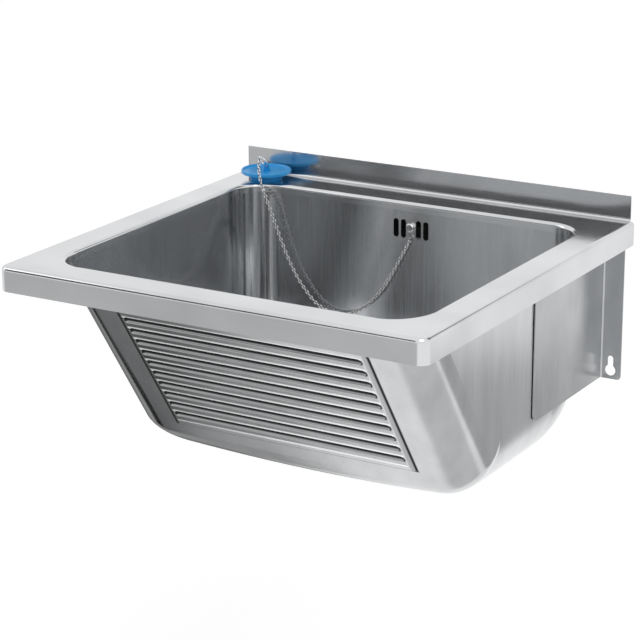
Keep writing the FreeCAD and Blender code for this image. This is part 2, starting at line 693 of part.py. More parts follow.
def makePlugRing():
    """Closed ring through the lug, leaning towards the bowl."""
    ringShape = Part.makeTorus(ringRadius, ringWire)
    ringShape.rotate(Vector(0, 0, 0), Vector(1, 0, 0), 90 + ringLean)
    ringShape.rotate(Vector(0, 0, 0), Vector(0, 0, 1), 90 - ringTurn)
    tilt = math.radians(ringLean)
    offset = plugAway * (ringRadius * math.sin(tilt)) + Vector(0, 0, ringRadius * math.cos(tilt))
    ringShape.translate(lugHole + offset)
    return ringShape


def chainTube(name, points):
    """Tube along straight runs joined by tangent arcs; prints each arc's radius."""
    radius = chainWidth / 2
    edges = []
    start = points[0]
    radii = []
    for i in range(1, len(points) - 1):
        before = (points[i] - points[i - 1])
        after = (points[i + 1] - points[i])
        turn = before.getAngle(after)
        bend = 0.45 * min(before.Length, after.Length) / math.tan(turn / 2)
        setback = bend * math.tan(turn / 2)
        first = points[i] - before.normalize() * setback
        last = points[i] + after.normalize() * setback
        inward = (after - before).normalize()
        top = points[i] + inward * (bend / math.cos(turn / 2) - bend)
        edges += [Part.LineSegment(start, first).toShape(), Part.Arc(first, top, last).toShape()]
        radii.append(bend)
        start = last
    edges.append(Part.LineSegment(start, points[-1]).toShape())
    path = Part.Wire(edges)
    section = Part.Wire(Part.makeCircle(radius, points[0], points[1] - points[0]))
    tube = path.makePipeShell([section], True, False)
    ratio = tube.Volume / (math.pi * radius ** 2 * path.Length)
    print(name, "length %.1f volume ratio %.3f radii" % (path.Length, ratio),
          " ".join("%.0f" % r for r in radii))
    return tube


def above(x, y, drop):
    return Vector(x, y, deckTop + drop)


def chainRoute():
    """The hanging chain, from below the anchor's eye up to the bowl's mouth beside the plug."""
    return [above(0, -61.6, -53), above(-9, -64, -71), above(-21, -65, -94),
            above(-40, -66, -127), above(-66, -66, -156), above(-104, -66, -175),
            above(-140, -67, -167), above(-168, -67.5, -138), above(-186, -68, -109),
            above(-200.5, -69.5, -75), above(-212, -72, -42), above(-224.5, -75.5, -6)]


def leadRoute():
    """The chain's last stretch, from the bowl's mouth over the plug's rim to its ring."""
    tilt = math.radians(ringLean)
    ringTop = lugHole + (plugAway * math.sin(tilt) + Vector(0, 0, math.cos(tilt))) * 2 * ringRadius
    before, foot = chainRoute()[-2:]
    along = (foot - before).normalize()
    corner = foot + along * leadRise
    back = (corner - ringTop).normalize()
    return [foot + along * chainPlay, corner, ringTop + back * (chainWidth / 2 + ringWire + 2 * chainPlay)]


def main():
    os.makedirs("parts", exist_ok=True)
    save("deck", makeDeck())
    save("bowl", makeBowl())
    bracket = makeBracket()
    save("bracket_right", bracket)
    save("bracket_left", mirrored(bracket))
    save("waste_flange", makeWasteFlange())
    save("waste_gasket", makeUpperGasket())
    save("waste_washer", makeLowerGasket())
    save("waste_body", makeWasteBody())
    save("waste_screw", makeWasteScrew())
    save("overflow_gasket", makeOverflowGasket())
    save("overflow_box", makeOverflowBox())
    save("overflow_screw", makeOverflowScrew())
    save("overflow_pipe", makeOverflowPipe())
    save("upper_pipe_seal", atUpperJoint(compressionSeal()))
    save("upper_pipe_nut", atUpperJoint(compressionNut()))
    save("lower_pipe_seal", atLowerJoint(compressionSeal()))
    save("lower_pipe_nut", atLowerJoint(compressionNut()))
    save("chain_anchor", makeAnchor())
    save("plug", makePlug())
    save("plug_ring", makePlugRing())
    save("chain", chainTube("chain", chainRoute()))
    save("chain_lead", chainTube("chain_lead", leadRoute()))


main()
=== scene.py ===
import math

import bpy
from mathutils import Matrix, Vector


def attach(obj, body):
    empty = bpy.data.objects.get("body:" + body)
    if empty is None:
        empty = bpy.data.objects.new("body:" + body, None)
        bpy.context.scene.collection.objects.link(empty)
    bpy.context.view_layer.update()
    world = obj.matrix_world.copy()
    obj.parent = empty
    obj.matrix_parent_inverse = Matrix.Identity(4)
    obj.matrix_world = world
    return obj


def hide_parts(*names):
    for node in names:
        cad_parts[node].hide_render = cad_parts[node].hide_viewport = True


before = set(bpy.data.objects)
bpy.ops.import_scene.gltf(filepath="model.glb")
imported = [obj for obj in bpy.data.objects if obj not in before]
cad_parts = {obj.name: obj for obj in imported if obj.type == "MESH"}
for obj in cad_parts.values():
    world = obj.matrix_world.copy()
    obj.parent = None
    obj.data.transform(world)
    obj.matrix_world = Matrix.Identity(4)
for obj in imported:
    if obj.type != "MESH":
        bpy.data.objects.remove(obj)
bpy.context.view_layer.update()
print("frame loaded:", len(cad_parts), "nodes")

# The origin is on the wall plane, between the two screw-head holes; lengths are in metres.
deckTop = 0.209

# Fitted to the edges of deck, upstand, bowl and bracket; angles in degrees.
cameraView = {
    "place": (1.4580, -2.7787, 1.0146),
    "azimuth": 31.8,       # to the right of straight on
    "elevation": 17.7,
    "roll": -0.6,
    "lens": 132.2,
    "sensor": 36,
    "shift": (0.0802, 0.0150),
    "clip": (0.05, 60),
}


def makeCamera(settings):
    az, el, roll = (math.radians(settings[k]) for k in ("azimuth", "elevation", "roll"))
    right = Vector((math.cos(az), math.sin(az), 0))
    ahead = Vector((-math.sin(az) * math.cos(el), math.cos(az) * math.cos(el), -math.sin(el)))
    down = ahead.cross(right)
    rolledRight = right * math.cos(roll) - down * math.sin(roll)
    rolledDown = right * math.sin(roll) + down * math.cos(roll)
    turn = Matrix((rolledRight, -rolledDown, -ahead)).transposed().to_4x4()
    data = bpy.data.cameras.new("camera")
    data.lens = settings["lens"]
    data.sensor_width = settings["sensor"]
    data.shift_x, data.shift_y = settings["shift"]
    data.clip_start, data.clip_end = settings["clip"]
    camera = bpy.data.objects.new("camera", data)
    bpy.context.scene.collection.objects.link(camera)
    camera.matrix_world = Matrix.Translation(settings["place"]) @ turn
    bpy.context.scene.camera = camera


makeCamera(cameraView)
print("camera set")


def newMaterial(name):
    material = bpy.data.materials.new(name)
    material.use_nodes = True
    nodes = material.node_tree.nodes
    return material, nodes, material.node_tree.links, nodes["Principled BSDF"]


def parts(material):
    nodes = material.node_tree.nodes
    return nodes, material.node_tree.links, nodes["Principled BSDF"]


def objectCoordinates(nodes, links, scale):
    place = nodes.new("ShaderNodeTexCoord")
    mapping = nodes.new("ShaderNodeMapping")
    mapping.inputs["Scale"].default_value = scale
    links.new(place.outputs["Object"], mapping.inputs["Vector"])
    return mapping.outputs["Vector"]


def splitPlace(nodes, links):
    place = nodes.new("ShaderNodeTexCoord")
    split = nodes.new("ShaderNodeSeparateXYZ")
    links.new(place.outputs["Object"], split.inputs["Vector"])
    return place, [split.outputs[k] for k in "XYZ"]


def noise(nodes, links, vector, scale, detail=4.0, roughness=0.6):
    texture = nodes.new("ShaderNodeTexNoise")
    texture.inputs["Scale"].default_value = scale
    texture.inputs["Detail"].default_value = detail
    texture.inputs["Roughness"].default_value = roughness
    links.new(vector, texture.inputs["Vector"])
    return texture.outputs["Fac"]


def remap(nodes, links, value, low, high, fromLow=0.0, fromHigh=1.0):
    node = nodes.new("ShaderNodeMapRange")
    node.inputs["From Min"].default_value = fromLow
    node.inputs["From Max"].default_value = fromHigh
    node.inputs["To Min"].default_value = low
    node.inputs["To Max"].default_value = high
    links.new(value, node.inputs["Value"])
    return node.outputs["Result"]


def colourRamp(nodes, links, value, stops):
    ramp = nodes.new("ShaderNodeValToRGB")
    elements = ramp.color_ramp.elements
    while len(elements) < len(stops):
        elements.new(0.5)
    for element, (place, colour) in zip(elements, stops):
        element.position = place
        element.color = (*colour, 1)
    links.new(value, ramp.inputs["Fac"])
    return ramp.outputs["Color"]


def bump(nodes, links, value, strength, distance):
    node = nodes.new("ShaderNodeBump")
    node.inputs["Strength"].default_value = strength
    node.inputs["Distance"].default_value = distance
    links.new(value, node.inputs["Height"])
    return node.outputs["Normal"]


def combine(nodes, links, operation, first, second=0.0):
    node = nodes.new("ShaderNodeMath")
    node.operation = operation
    for socket, value in zip(node.inputs, (first, second)):
        if isinstance(value, (int, float)):
            socket.default_value = value
        else:
            links.new(value, socket)
    return node.outputs[0]


# 1 up to the edge, then fading to 0 over the blur
def within(nodes, links, value, edge, blur):
    return remap(nodes, links, value, 0.0, 1.0, edge + blur, edge)


# lays a colour over what the base colour already has, by an amount from 0 to 1
def tint(nodes, links, shader, amount, colour):
    shade = nodes.new("ShaderNodeMix")
    shade.data_type = "RGBA"
    shade.inputs["B"].default_value = (*colour, 1)
    links.new(amount, shade.inputs["Factor"])
    links.new(shader.inputs["Base Color"].links[0].from_socket, shade.inputs["A"])
    links.new(shade.outputs["Result"], shader.inputs["Base Color"])


spread = (0.3, 0.7)        # the middle part of a noise's range, where nearly all of it lies
brushDepth = 0.0002
rubberDepth = 0.0003
coatRoughness = 0.2


def brushedSteel(name, settings):
    material, nodes, links, shader = newMaterial(name)
    shader.inputs["Metallic"].default_value = settings.get("metal", 1.0)
    fine = noise(nodes, links, objectCoordinates(nodes, links, settings["grain"]), 1.0, detail=3.0)
    broad = noise(nodes, links, objectCoordinates(nodes, links, settings["clouds"]), 1.0, detail=2.0)
    tones = list(zip(spread, settings["tone"]))
    links.new(colourRamp(nodes, links, broad, tones), shader.inputs["Base Color"])
    links.new(remap(nodes, links, fine, *settings["roughness"], *spread), shader.inputs["Roughness"])
    links.new(bump(nodes, links, fine, settings["bump"], brushDepth), shader.inputs["Normal"])
    return material


deckSteel = {
    "grain": (14, 900, 900), "clouds": (6, 9, 9),
    "tone": ((0.60, 0.61, 0.62), (0.70, 0.71, 0.72)),
    "roughness": (0.12, 0.20), "bump": 0.03,
}
bowlSteel = {
    "grain": (700, 700, 10), "clouds": (30, 30, 4),
    "tone": ((0.53, 0.54, 0.55), (0.61, 0.62, 0.63)),
    "roughness": (0.12, 0.20), "bump": 0.04,
}
bracketSteel = {
    "grain": (500, 500, 12), "clouds": (14, 14, 9),
    "tone": ((0.42, 0.43, 0.44), (0.52, 0.53, 0.54)),
    "roughness": (0.16, 0.26), "bump": 0.04,
}
brightSteel = {
    "grain": (300, 300, 300), "clouds": (20, 20, 20),
    "tone": ((0.74, 0.75, 0.76), (0.80, 0.80, 0.81)),
    "roughness": (0.08, 0.16), "bump": 0.02,
}

# The washboard's places are the part's own: distances down the leaning wall from the weld.
# Its profiles go down one pitch from a groove's middle, as (share of the pitch, level).
washboard = {
    "weld": (-0.532, 0.197), "lean": 34.5, "halfWidth": 0.174, "top": 0.056, "foot": 0.284,
    "firstGroove": 0.071, "pitch": 0.0212, "flank": 0.005,
    "wallReach": 0.006, "wallBlur": 0.002,      # how far from the wall's plane the finish goes
    "turnBlur": 0.1,                            # how sharply it ends where the sheet turns away
    "sideMargin": 0.004, "endMargin": 0.008, "fieldBlur": 0.002,
    # each rib swells between its grooves
    "swell": ((0.0, 0.5), (0.15, 0.6), (0.35, 0.5), (0.55, 0.35), (0.82, 1.0), (1.0, 0.5)),
    "rise": 0.002,
    # the lip above each groove gets a painted highlight: its colour is made near white, and it is rougher
    "lip": 0.69, "lipWidth": 0.07, "lipBlur": 0.05, "lipRoughness": 0.40, "lipHighlightColour": (0.97, 0.97, 0.97),
    # painted shade fills each groove's root and fades out down the rib below it; this profile is 1 where
    # none is painted
    "clearOfGrooveShade": ((0.0, 0.0), (0.12, 0.0), (0.18, 0.6), (0.30, 0.78), (0.52, 0.85), (0.60, 1.0),
               (0.82, 1.0), (0.88, 0.0), (1.0, 0.0)),
    # painted shade also lines the foot of the panel's flanks and covers its left flank
    "rim": 0.0008, "rimBlur": 0.0016,
    "flankMargin": 0.001, "flankBlur": 0.0015, "flankEnd": 0.002,
    "shadeColour": (0.008, 0.008, 0.009), "shadeStrength": 0.98,
}
# Where the deep drawn rear corners begin, and the dark upright streaks painted on them as painted
# reflection.
drawnCorners = {
    "side": 0.206, "rear": -0.108, "blur": 0.012,
    "grain": (120, 120, 2.2), "paintedStreaks": (0.50, 0.62), "depth": 0.8, "colour": (0.10, 0.10, 0.105),
}


# how far a point lies down the leaning wall and out of it, and whether it is on the outer face
def wallPlaces(nodes, links, board):
    place, (x, y, z) = splitPlace(nodes, links)
    weldY, weldZ = board["weld"]
    sine, cosine = math.sin(math.radians(board["lean"])), math.cos(math.radians(board["lean"]))

    def compute(*what):
        return combine(nodes, links, *what)

    along = compute("ADD", compute("MULTIPLY", compute("SUBTRACT", y, weldY), sine),
                    compute("MULTIPLY", compute("SUBTRACT", weldZ, z), cosine))
    out = compute("ADD", compute("MULTIPLY", compute("SUBTRACT", weldY, y), cosine),
                  compute("MULTIPLY", compute("SUBTRACT", weldZ, z), sine))
    facing = nodes.new("ShaderNodeVectorMath")
    facing.operation = "DOT_PRODUCT"
    facing.inputs[1].default_value = (0, -cosine, -sine)
    links.new(place.outputs["Normal"], facing.inputs[0])
    outer = remap(nodes, links, facing.outputs["Value"], 0.0, 1.0, -board["turnBlur"], board["turnBlur"])
    return x, along, out, outer


def profile(nodes, links, share, stops):
    curve = nodes.new("ShaderNodeFloatCurve")
    points = curve.mapping.curves[0].points
    while len(points) < len(stops):
        points.new(0.5, 0.5)
    for point, spot in zip(points, stops):
        point.location = spot
        point.handle_type = "VECTOR"
    curve.mapping.update()
    links.new(share, curve.inputs["Value"])
    return curve.outputs["Value"]


def washboardRibsAndPaintedLight(material, board):
    nodes, links, shader = parts(material)

    def compute(*what):
        return combine(nodes, links, *what)

    def inside(value, edge, blur):
        return within(nodes, links, value, edge, blur)

    x, along, out, outer = wallPlaces(nodes, links, board)
    across = compute("ABSOLUTE", x)
    middle, half = (board["foot"] + board["top"]) / 2, (board["foot"] - board["top"]) / 2
    fromMiddle = compute("ABSOLUTE", compute("SUBTRACT", along, middle))
    nearWall = inside(compute("ABSOLUTE", out), board["wallReach"], board["wallBlur"])
    nearWall = compute("MULTIPLY", outer, nearWall)
    field = compute("MULTIPLY", inside(across, board["halfWidth"] - board["sideMargin"], board["fieldBlur"]),
                    inside(fromMiddle, half - board["endMargin"], board["fieldBlur"]))
    field = compute("MULTIPLY", field, nearWall)
    pitches = compute("DIVIDE", compute("SUBTRACT", along, board["firstGroove"]), board["pitch"])
    share = compute("FRACT", pitches)

    swell = nodes.new("ShaderNodeBump")
    swell.inputs["Distance"].default_value = board["rise"]
    links.new(field, swell.inputs["Strength"])
    links.new(profile(nodes, links, share, board["swell"]), swell.inputs["Height"])
    links.new(shader.inputs["Normal"].links[0].from_socket, swell.inputs["Normal"])
    links.new(swell.outputs["Normal"], shader.inputs["Normal"])

    # painted highlight along each groove's upper lip, with a rougher surface there
    fromLip = compute("ABSOLUTE", compute("SUBTRACT", share, board["lip"]))
    paintedLipHighlight = compute("MULTIPLY", inside(fromLip, board["lipWidth"], board["lipBlur"]), field)
    tint(nodes, links, shader, paintedLipHighlight, board["lipHighlightColour"])
    satin = nodes.new("ShaderNodeMix")
    satin.inputs["B"].default_value = board["lipRoughness"]
    links.new(paintedLipHighlight, satin.inputs["Factor"])
    links.new(shader.inputs["Roughness"].links[0].from_socket, satin.inputs["A"])
    links.new(satin.outputs["Result"], shader.inputs["Roughness"])

    flank = board["flank"]
    # painted shade in the grooves' roots
    grooveShade = compute("SUBTRACT", 1.0, profile(nodes, links, share, board["clearOfGrooveShade"]))
    # painted shade: a dark line round the panel's foot and a dark left flank, laid with the grooves' shade
    edge = compute("MAXIMUM", compute("SUBTRACT", across, board["halfWidth"] + flank),
                   compute("SUBTRACT", fromMiddle, half + flank))
    footShadeLine = inside(compute("ABSOLUTE", edge), board["rim"], board["rimBlur"])
    fromFlank = compute("ABSOLUTE", compute("ADD", x, board["halfWidth"] + flank / 2))
    leftFlankShade = compute("MULTIPLY", inside(fromFlank, flank / 2 + board["flankMargin"], board["flankBlur"]),
                        inside(fromMiddle, half + flank - board["flankEnd"], board["flankEnd"]))
    flankShade = compute("MULTIPLY", compute("MAXIMUM", footShadeLine, leftFlankShade), nearWall)
    paintedShade = compute("MAXIMUM", compute("MULTIPLY", grooveShade, field), flankShade)
    tint(nodes, links, shader, compute("MULTIPLY", paintedShade, board["shadeStrength"]), board["shadeColour"])


def cornerReflectionStreaks(material, corners):
    nodes, links, shader = parts(material)
    x, y, z = splitPlace(nodes, links)[1]
    # dark upright streaks: painted reflection bands on the rear corners
    paintedStreaks = noise(nodes, links, objectCoordinates(nodes, links, corners["grain"]), 1.0,
                  detail=3.0, roughness=0.7)
    paintedStreaks = remap(nodes, links, paintedStreaks, 0.0, corners["depth"], *corners["paintedStreaks"])
    toRear = remap(nodes, links, y, 0.0, 1.0, corners["rear"], corners["rear"] + corners["blur"])
    toSide = remap(nodes, links, combine(nodes, links, "ABSOLUTE", x), 0.0, 1.0,
                   corners["side"], corners["side"] + corners["blur"])
    corner = combine(nodes, links, "MULTIPLY", toSide, toRear)
    tint(nodes, links, shader, combine(nodes, links, "MULTIPLY", corner, paintedStreaks), corners["colour"])


def bowlSheet(name, settings, board, corners):
    material = brushedSteel(name, settings)
    washboardRibsAndPaintedLight(material, board)
    cornerReflectionStreaks(material, corners)
    return material


# Painted shade darkens the ends of the links, where they nest in each other.
linkSteel = {
    "grain": (300, 300, 300), "clouds": (20, 20, 20),
    "tone": ((0.86, 0.87, 0.88), (0.94, 0.94, 0.95)),
    "roughness": (0.14, 0.24), "bump": 0.02, "metal": 0.15,
    "nest": (0.58, 0.80), "nestShade": 0.97, "nestShadeColour": (0.01, 0.01, 0.011),
}


def chainSteel(name, settings):
    material = brushedSteel(name, settings)
    nodes, links, shader = parts(material)
    nest = nodes.new("ShaderNodeAttribute")
    nest.attribute_name = "nest"
    # painted shade where the links nest in each other
    amount = remap(nodes, links, nest.outputs["Fac"], 0.0, settings["nestShade"], *settings["nest"])
    tint(nodes, links, shader, amount, settings["nestShadeColour"])
    return material


def smoothRubber(name, settings):
    material, nodes, links, shader = newMaterial(name)
    place = objectCoordinates(nodes, links, (1, 1, 1))
    broad = noise(nodes, links, place, settings["clouds"], detail=3.0)
    fine = noise(nodes, links, place, settings["grain"], detail=4.0)
    tones = list(zip(spread, settings["colours"]))
    links.new(colourRamp(nodes, links, broad, tones), shader.inputs["Base Color"])
    links.new(remap(nodes, links, fine, *settings["roughness"], *spread), shader.inputs["Roughness"])
    links.new(bump(nodes, links, fine, settings["bump"], rubberDepth), shader.inputs["Normal"])
    shader.inputs["Coat Weight"].default_value = settings["coat"]
    shader.inputs["Coat Roughness"].default_value = coatRoughness
    return material


bluePlug = {
    "clouds": 60, "grain": 900, "colours": ((0.004, 0.26, 0.62), (0.010, 0.33, 0.74)),
    "roughness": (0.32, 0.45), "bump": 0.05, "coat": 0.2,
}
blackSeal = {
    "clouds": 60, "grain": 1200, "colours": ((0.012, 0.012, 0.013), (0.025, 0.025, 0.026)),
    "roughness": (0.6, 0.8), "bump": 0.1, "coat": 0.0,
}
pipePlastic = {
    "clouds": 40, "grain": 700, "colours": ((0.74, 0.75, 0.75), (0.80, 0.81, 0.81)),
    "roughness": (0.28, 0.40), "bump": 0.04, "coat": 0.1,
}
# The overflow's chamber behind the slots, as (middle, half size) for each axis; its inside gets painted
# shade, nearly black.
overflowRoom = {
    "places": ((0.0, 0.0323), (-0.0425, 0.0128), (0.172, 0.0173)),
    "blur": 0.0004, "insideShade": 0.97, "colour": (0.006, 0.006, 0.006),
}


def boxPlastic(name, settings, room):
    material = smoothRubber(name, settings)
    nodes, links, shader = parts(material)
    # painted shade inside the chamber behind the slots
    paintedInsideShade = room["insideShade"]
    for value, (middle, half) in zip(splitPlace(nodes, links)[1], room["places"]):
        away = combine(nodes, links, "ABSOLUTE", combine(nodes, links, "SUBTRACT", value, middle))
        paintedInsideShade = combine(nodes, links, "MULTIPLY", within(nodes, links, away, half, room["blur"]), paintedInsideShade)
    tint(nodes, links, shader, paintedInsideShade, room["colour"])
    return material


finishes = {
    "deck": brushedSteel("deckSheet", deckSteel),
    "bowl": bowlSheet("bowlSheet", bowlSteel, washboard, drawnCorners),
    "bracket": brushedSteel("bracketSheet", bracketSteel),
    "bright": brushedSteel("brightSteel", brightSteel),
    "plug": smoothRubber("bluePlugRubber", bluePlug),
    "seal": smoothRubber("blackSealRubber", blackSeal),
    "plastic": smoothRubber("whitePipePlastic", pipePlastic),
    "box": boxPlastic("overflowPlastic", pipePlastic, overflowRoom),
    "links": chainSteel("linkSteel", linkSteel),
}
finishedNodes = {
    "deck": ["deck"],
    "bowl": ["bowl"],
    "bracket": ["bracket_left", "bracket_right"],
    "bright": ["waste_flange", "waste_screw", "overflow_screw", "chain_anchor", "plug_ring"],
    "plug": ["plug"],
    "seal": ["waste_gasket", "waste_washer", "overflow_gasket", "upper_pipe_seal", "lower_pipe_seal"],
    "plastic": ["waste_body", "overflow_pipe", "upper_pipe_nut", "lower_pipe_nut"],
    "box": ["overflow_box"],
}
for finish, nodeNames in finishedNodes.items():
    for nodeName in nodeNames:
        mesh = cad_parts[nodeName].data
        mesh.materials.clear()
        mesh.materials.append(finishes[finish])
print("finishes on", sum(len(names) for names in finishedNodes.values()), "nodes")


chainLinks = {
    "pitch": 0.0046, "width": 0.0046, "wire": 0.0014,
    "twist": 90.0, "firstTurn": 40.0,      # degrees about the route
    "nestDepth": 0.9,                      # how far a link reaches into the next, in wires
    "ovalSides": 20, "wireSides": 8,
}
# The chain's routes, by the same points as in the part's source.
chainRoute = [
    (0, -0.0616, 0.156), (-0.009, -0.064, 0.138), (-0.021, -0.065, 0.115), (-0.040, -0.066, 0.082),
    (-0.066, -0.066, 0.053), (-0.104, -0.066, 0.034), (-0.140, -0.067, 0.042), (-0.168, -0.0675, 0.071),
    (-0.186, -0.068, 0.100), (-0.2005, -0.0695, 0.134), (-0.212, -0.072, 0.167), (-0.2245, -0.0755, 0.203),
]
leadRoute = [(-0.22467, -0.07555, 0.20347), (-0.23365, -0.07806, 0.22934), (-0.2445, -0.05145, 0.24045)]


def routeLine(name, points):
    curve = bpy.data.curves.new(name, "CURVE")
    curve.dimensions = "3D"
    spline = curve.splines.new("NURBS")
    spline.points.add(len(points) - 1)
    for point, spot in zip(spline.points, points):
        point.co = (*spot, 1)
    spline.order_u = 3
    spline.use_endpoint_u = True
    spline.resolution_u = 24
    line = bpy.data.objects.new(name, curve)
    bpy.context.scene.collection.objects.link(line)
    return line


def routePoints(line):
    mesh = bpy.data.meshes.new_from_object(line)
    return [v.co.copy() for v in mesh.vertices]


def linkTree(settings, material):
    tree = bpy.data.node_groups.new("chainLinks", "GeometryNodeTree")
    face = tree.interface
    face.new_socket("Route", in_out="INPUT", socket_type="NodeSocketGeometry")
    for label in ("Pitch", "Width", "Wire", "Twist"):
        face.new_socket(label, in_out="INPUT", socket_type="NodeSocketFloat")
    face.new_socket("Chain", in_out="OUTPUT", socket_type="NodeSocketGeometry")
    nodes, links = tree.nodes, tree.links
    entry = nodes.new("NodeGroupInput")
    leave = nodes.new("NodeGroupOutput")

    def compute(*what):
        return combine(nodes, links, *what)

    pitch, width, wire, twist = (entry.outputs[k] for k in ("Pitch", "Width", "Wire", "Twist"))
    toCurve = nodes.new("GeometryNodeMeshToCurve")
    links.new(entry.outputs["Route"], toCurve.inputs["Mesh"])
    spaced = nodes.new("GeometryNodeResampleCurve")
    spaced.mode = "LENGTH"
    links.new(toCurve.outputs["Curve"], spaced.inputs["Curve"])
    links.new(pitch, spaced.inputs["Length"])
    # one oval link: a circle of half the width less the wire, stretched along the route
    oval = nodes.new("GeometryNodeCurvePrimitiveCircle")
    oval.inputs["Resolution"].default_value = settings["ovalSides"]
    links.new(compute("MULTIPLY", compute("SUBTRACT", width, wire), 0.5), oval.inputs["Radius"])
    length = compute("ADD", pitch, compute("MULTIPLY", wire, settings["nestDepth"]))
    scale = nodes.new("ShaderNodeCombineXYZ")
    links.new(compute("DIVIDE", length, compute("SUBTRACT", width, wire)), scale.inputs["X"])
    scale.inputs["Y"].default_value = 1
    scale.inputs["Z"].default_value = 1
    stretched = nodes.new("GeometryNodeTransform")
    links.new(oval.outputs["Curve"], stretched.inputs["Geometry"])
    links.new(scale.outputs["Vector"], stretched.inputs["Scale"])
    section = nodes.new("GeometryNodeCurvePrimitiveCircle")
    section.inputs["Resolution"].default_value = settings["wireSides"]
    links.new(compute("MULTIPLY", wire, 0.5), section.inputs["Radius"])
    link = nodes.new("GeometryNodeCurveToMesh")
    links.new(stretched.outputs["Geometry"], link.inputs["Curve"])
    links.new(section.outputs["Curve"], link.inputs["Profile Curve"])
    # how near each point is to its link's ends, for the painted shade
    spot = nodes.new("GeometryNodeInputPosition")
    apart = nodes.new("ShaderNodeSeparateXYZ")
    links.new(spot.outputs["Position"], apart.inputs["Vector"])
    toEnd = compute("DIVIDE", compute("ABSOLUTE", apart.outputs["X"]), compute("MULTIPLY", length, 0.5))
    mark = nodes.new("GeometryNodeStoreNamedAttribute")
    mark.data_type = "FLOAT"
    mark.domain = "POINT"
    mark.inputs["Name"].default_value = "nest"
    links.new(link.outputs["Mesh"], mark.inputs["Geometry"])
    links.new(toEnd, mark.inputs["Value"])
    # every second link is turned about the route by the twist
    tangent = nodes.new("GeometryNodeInputTangent")
    index = nodes.new("GeometryNodeInputIndex")
    along = nodes.new("FunctionNodeAlignRotationToVector")
    along.axis = "X"
    links.new(tangent.outputs["Tangent"], along.inputs["Vector"])
    spin = nodes.new("FunctionNodeAxisAngleToRotation")
    spin.inputs["Axis"].default_value = (1, 0, 0)
    turned = compute("MULTIPLY", compute("MODULO", index.outputs["Index"], 2), twist)
    links.new(compute("ADD", turned, math.radians(settings["firstTurn"])), spin.inputs["Angle"])
    rotate = nodes.new("FunctionNodeRotateRotation")
    rotate.rotation_space = "LOCAL"
    links.new(along.outputs["Rotation"], rotate.inputs["Rotation"])
    links.new(spin.outputs["Rotation"], rotate.inputs["Rotate By"])
    place = nodes.new("GeometryNodeInstanceOnPoints")
    links.new(spaced.outputs["Curve"], place.inputs["Points"])
    links.new(mark.outputs["Geometry"], place.inputs["Instance"])
    links.new(rotate.outputs["Rotation"], place.inputs["Rotation"])
    realize = nodes.new("GeometryNodeRealizeInstances")
    links.new(place.outputs["Instances"], realize.inputs["Geometry"])
    smooth = nodes.new("GeometryNodeSetShadeSmooth")
    links.new(realize.outputs["Geometry"], smooth.inputs["Geometry"])
    paint = nodes.new("GeometryNodeSetMaterial")
    paint.inputs["Material"].default_value = material
    links.new(smooth.outputs["Geometry"], paint.inputs["Geometry"])
    links.new(paint.outputs["Geometry"], leave.inputs["Chain"])
    return tree


def makeChain(name, points, tree, settings):
    line = routeLine(name + "Line", points)
    path = routePoints(line)
    mesh = bpy.data.meshes.new(name + "Route")
    mesh.from_pydata(path, [(i, i + 1) for i in range(len(path) - 1)], [])
    holder = bpy.data.objects.new(name + "Holder", mesh)
    bpy.context.scene.collection.objects.link(holder)
    modifier = holder.modifiers.new("links", "NODES")
    modifier.node_group = tree
    values = {"Pitch": settings["pitch"], "Width": settings["width"], "Wire": settings["wire"],
              "Twist": math.radians(settings["twist"])}
    for item in tree.interface.items_tree:
        if item.item_type == "SOCKET" and item.in_out == "INPUT" and item.name in values:
            modifier[item.identifier] = values[item.name]
    ready = holder.evaluated_get(bpy.context.evaluated_depsgraph_get())
    made = bpy.data.meshes.new_from_object(ready)
    made.name = name
    made.materials.clear()
    made.materials.append(finishes["links"])
    made.polygons.foreach_set("material_index", [0] * len(made.polygons))
    chain = bpy.data.objects.new(name, made)
    bpy.context.scene.collection.objects.link(chain)
    for spare in (holder, line):
        bpy.data.objects.remove(spare)
    length = sum((b - a).length for a, b in zip(path, path[1:]))
    return chain, path, length


chainTree = linkTree(chainLinks, finishes["links"])
hangingChain, hangingPath, hangingLength = makeChain("hangingChain", chainRoute, chainTree, chainLinks)
plugChain, plugPath, plugLength = makeChain("plugChain", leadRoute, chainTree, chainLinks)
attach(hangingChain, "sink")
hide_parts("chain")
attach(plugChain, "plug")
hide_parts("chain_lead")
print("chain made: %.3f m and %.3f m" % (hangingLength, plugLength))


studio = {
    "softLight": 0.72,       # what the white room gives to matt surfaces
    "floorBelow": 0.95,      # under the deck's top
    "floorReach": 9,
    "floorColour": (0.86, 0.86, 0.86),
    "floorRoughness": 0.8,
    "floorGlow": 0.36,
}


def seenDirectly(nodes, links):
    light = nodes.new("ShaderNodeLightPath")
    total = light.outputs["Is Camera Ray"]
    for label in ("Is Glossy Ray", "Is Transmission Ray"):
        add = nodes.new("ShaderNodeMath")
        add.operation = "ADD"
        add.use_clamp = True
        links.new(total, add.inputs[0])
        links.new(light.outputs[label], add.inputs[1])
        total = add.outputs[0]
    return total


def whiteWorld(settings):
    world = bpy.data.worlds.new("studio")
    bpy.context.scene.world = world
    world.use_nodes = True
    nodes, links = world.node_tree.nodes, world.node_tree.links
    background = nodes["Background"]
    mix = nodes.new("ShaderNodeMix")
    mix.data_type = "RGBA"
    links.new(seenDirectly(nodes, links), mix.inputs["Factor"])
    mix.inputs["A"].default_value = (settings["softLight"],) * 3 + (1,)
    mix.inputs["B"].default_value = (1, 1, 1, 1)
    links.new(mix.outputs["Result"], background.inputs["Color"])
    background.inputs["Strength"].default_value = 1.0


